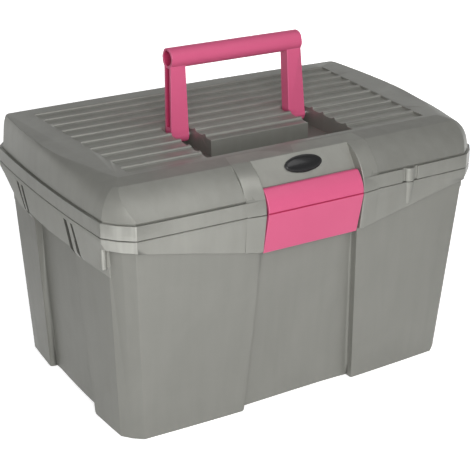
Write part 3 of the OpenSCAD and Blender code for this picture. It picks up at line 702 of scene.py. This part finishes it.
def painted_shade_in_hollows(node, reach):
    """A rule that gives the second material, painted shade, to faces inside the hollows of a part."""
    surface = part_surface(node)

    def rule(face):
        start = face.calc_center_median() + ABOVE_FACE * face.normal
        side = face.normal.orthogonal().normalized()
        other_side = face.normal.cross(side)
        met = 0
        for step in range(RAYS):
            turn = 2 * math.pi * step / RAYS
            lean = side * math.cos(turn) + other_side * math.sin(turn)
            if surface.ray_cast(start, (face.normal + lean).normalized(), reach)[0] is not None:
                met += 1
        return 1 if met > RAYS_MET else 0

    return rule


# %% Handle and latch
softened(
    "handle", "pink_handle", 0.7 * MM, [pink_plastic, pink_hollow_painted_shade, pink_edge_painted_highlight],
    finish=painted_shade_in_hollows("handle", 20 * MM), edge_material=2)
LATCH_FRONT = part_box("latch_flap")[0].y
CREASE_DEPTH = 1.5 * MM
CREASE_TURN = 0.3
ALONG_LATCH = 0.1


def in_crease(face):
    """True on the two narrow faces of the crease across the front of the latch."""
    at_front = all(vertex.co.y < LATCH_FRONT + CREASE_DEPTH for vertex in face.verts)
    return at_front and abs(face.normal.x) < ALONG_LATCH and abs(face.normal.z) > CREASE_TURN


def beside_crease(edge):
    """True on the edges of the crease."""
    return any(in_crease(face) for face in edge.link_faces)


def painted_shade_in_crease(face):
    """Painted shade, a deeper pink, in the crease and the plain pink elsewhere."""
    return 2 if in_crease(face) else 0


softened(
    "latch_flap", "pink_latch", 0.6 * MM, [pink_plastic, pink_edge_painted_highlight, pink_hollow_painted_shade],
    keep_crisp=beside_crease, finish=painted_shade_in_crease, edge_material=1)

# %% [markdown]
# ## Insert and dividers
# The insert lies under the closed lid. It shows when the lid is open, so it gets the same care.

# %% Insert and dividers
softened("insert_tray", "grey_insert", 0.6 * MM, [grey_inside])
softened("tray_divider_left", "grey_divider_left", 0.5 * MM, [grey_inside])
softened("tray_divider_right", "grey_divider_right", 0.5 * MM, [grey_inside])

# %% [markdown]
# ## Pins
# A pin is cut from drawn wire, and its ends are chamfered so that it can be pressed in. A cone with two
# equal ends makes the wire, and a bevel of its end edges makes the chamfers.

# %% Pins
def steel_pin(node, name):
    """A wire along X, as long and thick as the part, with chamfered ends."""
    low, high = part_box(node)
    length = high.x - low.x
    radius = (high.z - low.z) / 2
    shape = bmesh.new()
    bmesh.ops.create_cone(
        shape, cap_ends=True, segments=48, radius1=radius, radius2=radius, depth=length,
        matrix=Matrix.Translation((low + high) / 2) @ Matrix.Rotation(math.radians(90), 4, "Y"))
    ends = [edge for edge in shape.edges if edge.calc_face_angle(0) > SHARP_FROM]
    bmesh.ops.bevel(
        shape, geom=ends, offset=0.15 * radius, affect="EDGES", segments=2, profile=0.5, material=-1)
    piece = new_piece(name, shape, [pin_steel])
    normals = piece.modifiers.new("keep flat faces flat", "WEIGHTED_NORMAL")
    normals.weight = 90
    stand_for(piece, node)
    print(name, "is", round(length / MM, 1), "mm long")


for node in ("hinge_pin_left", "hinge_pin_right", "handle_pin_left", "handle_pin_right", "latch_pin"):
    steel_pin(node, "steel_" + node)

# %% [markdown]
# ## Badge
# The badge is an oval plate with a low glossy dome, and it stays bare. The dome is the cap of a sphere,
# squeezed to the oval, so that it reflects the light in one clean patch.

# %% Badge
softened("badge_plate", "black_badge_plate", 0.35 * MM, [badge_black])

dome_low, dome_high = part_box("badge_dome")
plate_mesh = frame["nodes"]["badge_plate"].data
panel_normal = max(plate_mesh.polygons, key=lambda face: face.area).normal.copy()
if panel_normal.z < 0:
    panel_normal = -panel_normal
print("badge panel leans", round(math.degrees(panel_normal.angle(Vector((0, 0, 1)))), 1), "degrees")

# %% Badge dome
dome_points = [vertex.co for vertex in frame["nodes"]["badge_dome"].data.vertices]
across = Vector((1, 0, 0))
upward = panel_normal.cross(across)
dome_middle = (dome_low + dome_high) / 2
heights = [(point - dome_middle).dot(panel_normal) for point in dome_points]
dome_foot = dome_middle + panel_normal * min(heights)
half_width = max(abs((point - dome_middle).dot(across)) for point in dome_points)
half_height = max(abs((point - dome_middle).dot(upward)) for point in dome_points)
crown = max(heights) - min(heights)

dome_shape = bmesh.new()
bmesh.ops.create_uvsphere(dome_shape, u_segments=72, v_segments=36, radius=1.0)
bmesh.ops.bisect_plane(
    dome_shape, geom=dome_shape.verts[:] + dome_shape.edges[:] + dome_shape.faces[:], dist=1e-5,
    plane_co=(0, 0, 0), plane_no=(0, 0, -1), clear_outer=True)
foot_edges = [edge for edge in dome_shape.edges if edge.is_boundary]
bmesh.ops.edgeloop_fill(dome_shape, edges=foot_edges)
bmesh.ops.scale(dome_shape, vec=(half_width, half_height, crown), verts=dome_shape.verts[:])
turn = Matrix((across, upward, panel_normal)).transposed().to_4x4()
bmesh.ops.transform(dome_shape, matrix=Matrix.Translation(dome_foot) @ turn, verts=dome_shape.verts[:])
bmesh.ops.recalc_face_normals(dome_shape, faces=dome_shape.faces[:])
badge_dome = new_piece("black_badge_dome", dome_shape, [badge_black])
stand_for(badge_dome, "badge_dome")
print("badge dome rises", round(crown / MM, 2), "mm")

# %% [markdown]
# ## Floor and light
# The photograph has a white ground and soft light from the front: the front is bright, the left side a
# little darker, and the top of the lid darkest. The box stands on a pale floor, in the middle of a sweep
# of white paper that is a little wider than the picture, and a pool of lamp light, with a brighter spot in
# it, is painted into the floor's glow to its left. Both glow for the camera and for reflections only, so
# the white costs the box no extra light, and its shadow stays. Their limits matter: faces that mirror
# them look bright, and faces that mirror the dim studio beside them stay dark, so the painted spot is
# mirrored in the box's left corners. A third lamp fills the back and the right end, which the photograph
# doesn't show. The lid's top would mirror it into the camera, so reflections don't see it.

# %% Paper sweep and lit floor
PAPER_ACROSS = (0.857, -0.514, 0.0)
PAPER_ALONG = (0.514, 0.857, 0.0)
LIT_MIDDLE = (-0.35, -0.45, 0.0)
BRIGHT_MIDDLE = (-0.36, -0.52, 0.0)


def fading(tree, value, full, none):
    """1 where a value is at the first limit or beyond it, falling softly to 0 at the second limit."""
    fade = tree.nodes.new("ShaderNodeMapRange")
    fade.interpolation_type = "SMOOTHSTEP"
    fade.inputs["From Min"].default_value = full
    fade.inputs["From Max"].default_value = none
    fade.inputs["To Min"].default_value = 1.0
    fade.inputs["To Max"].default_value = 0.0
    tree.links.new(value, fade.inputs["Value"])
    return fade.outputs["Result"]


def vector_math(tree, operation, place, other):
    """A value worked out from a place and a fixed vector."""
    node = tree.nodes.new("ShaderNodeVectorMath")
    node.operation = operation
    node.inputs[1].default_value = other
    tree.links.new(place, node.inputs[0])
    return node.outputs["Value"]


def on_paper(tree, place, inner, outer):
    """1 within the inner distance from the middle of the paper, fading to 0 at the outer distance."""
    aside = vector_math(tree, "DOT_PRODUCT", place, PAPER_ACROSS)
    return fading(tree, math_node(tree, "ABSOLUTE", aside, 0.0), inner, outer)


# %% Floor
def camera_or_shiny(tree):
    """1 where the camera, a reflection or a see-through surface looks."""
    path = tree.nodes.new("ShaderNodeLightPath")
    seen = math_node(tree, "MAXIMUM", path.outputs["Is Camera Ray"], path.outputs["Is Glossy Ray"])
    return math_node(tree, "MAXIMUM", seen, path.outputs["Is Transmission Ray"])


floor_shape = bmesh.new()
bmesh.ops.create_grid(floor_shape, x_segments=1, y_segments=1, size=12.0)
bmesh.ops.translate(floor_shape, vec=(0, 0, -0.2 * MM), verts=floor_shape.verts[:])
floor_material, floor_tree, floor_shader = new_material("white floor")
floor_shader.inputs["Base Color"].default_value = (0.82, 0.82, 0.82, 1)
floor_shader.inputs["Roughness"].default_value = 0.9
floor_shader.inputs["Emission Color"].default_value = (1, 1, 1, 1)
floor_place = floor_tree.nodes.new("ShaderNodeTexCoord").outputs["Object"]
near_paper = on_paper(floor_tree, floor_place, 0.30, 0.42)
far_paper = fading(floor_tree, vector_math(floor_tree, "DOT_PRODUCT", floor_place, PAPER_ALONG), 0.70, 0.45)
# A pool of lamp light and a brighter spot in it are painted into the floor's glow, which the camera and
# reflections see.
painted_lamp_pool = fading(floor_tree, vector_math(floor_tree, "DISTANCE", floor_place, LIT_MIDDLE), 0.50, 0.75)
beyond_paper = math_node(floor_tree, "MAXIMUM", far_paper, painted_lamp_pool)
white_floor = math_node(floor_tree, "MAXIMUM", near_paper, beyond_paper)
painted_bright_spot = fading(floor_tree, vector_math(floor_tree, "DISTANCE", floor_place, BRIGHT_MIDDLE), 0.30, 0.45)
glow_level = math_node(
    floor_tree, "ADD", value_range(floor_tree, white_floor, 0.25, 0.68),
    value_range(floor_tree, painted_bright_spot, 0.0, 0.32))
floor_glow = math_node(floor_tree, "MULTIPLY", camera_or_shiny(floor_tree), glow_level)
floor_tree.links.new(floor_glow, floor_shader.inputs["Emission Strength"])
floor = new_piece("floor", floor_shape, [floor_material])

# %% World
world = bpy.data.worlds.new("studio")
world.use_nodes = True
scene.world = world
world_tree = world.node_tree
background = world_tree.nodes["Background"]
background.inputs["Color"].default_value = (1, 1, 1, 1)
studio_level = 0.28
sky_place = world_tree.nodes.new("ShaderNodeTexCoord")
view_direction = world_tree.nodes.new("ShaderNodeSeparateXYZ")
world_tree.links.new(sky_place.outputs["Generated"], view_direction.inputs["Vector"])
backdrop = world_tree.nodes.new("ShaderNodeMapRange")
backdrop.inputs["From Min"].default_value = math.sin(math.radians(11))
backdrop.inputs["From Max"].default_value = math.sin(math.radians(20))
backdrop.inputs["To Min"].default_value = 1 - studio_level
backdrop.inputs["To Max"].default_value = 0.0
world_tree.links.new(view_direction.outputs["Z"], backdrop.inputs["Value"])
paper_share = on_paper(world_tree, sky_place.outputs["Generated"], 0.30, 0.50)
white_backdrop = value_range(world_tree, paper_share, 0.38, 1.0)
paper_lift = math_node(world_tree, "MULTIPLY", white_backdrop, backdrop.outputs["Result"])
lift = math_node(world_tree, "MULTIPLY", camera_or_shiny(world_tree), paper_lift)
level = math_node(world_tree, "ADD", lift, studio_level)
world_tree.links.new(level, background.inputs["Strength"])


# %% Lamps
def soft_lamp(name, azimuth, elevation, distance, size, watts, mirrored=True):
    """A square soft box that looks at the box from an angle to its front and above the floor."""
    aim = Vector((0, 0, 0.12))
    turn = math.radians(azimuth)
    rise = math.radians(elevation)
    outward = Vector((math.sin(turn) * math.cos(rise), -math.cos(turn) * math.cos(rise), math.sin(rise)))
    data = bpy.data.lights.new(name, "AREA")
    data.shape = "SQUARE"
    data.size = size
    data.energy = watts
    lamp = bpy.data.objects.new(name, data)
    lamp.location = aim + distance * outward
    lamp.rotation_mode = "QUATERNION"
    lamp.rotation_quaternion = (-outward).to_track_quat("-Z", "Y")
    lamp.visible_glossy = mirrored
    scene.collection.objects.link(lamp)
    print(name, "stands at", [round(value, 2) for value in lamp.location])


soft_lamp("front soft box", -26, 22, 1.5, 0.9, 15)
soft_lamp("high soft box", 24, 52, 1.9, 0.9, 4.3)
soft_lamp("back soft box", 130, 9, 1.9, 1.2, 24, mirrored=False)
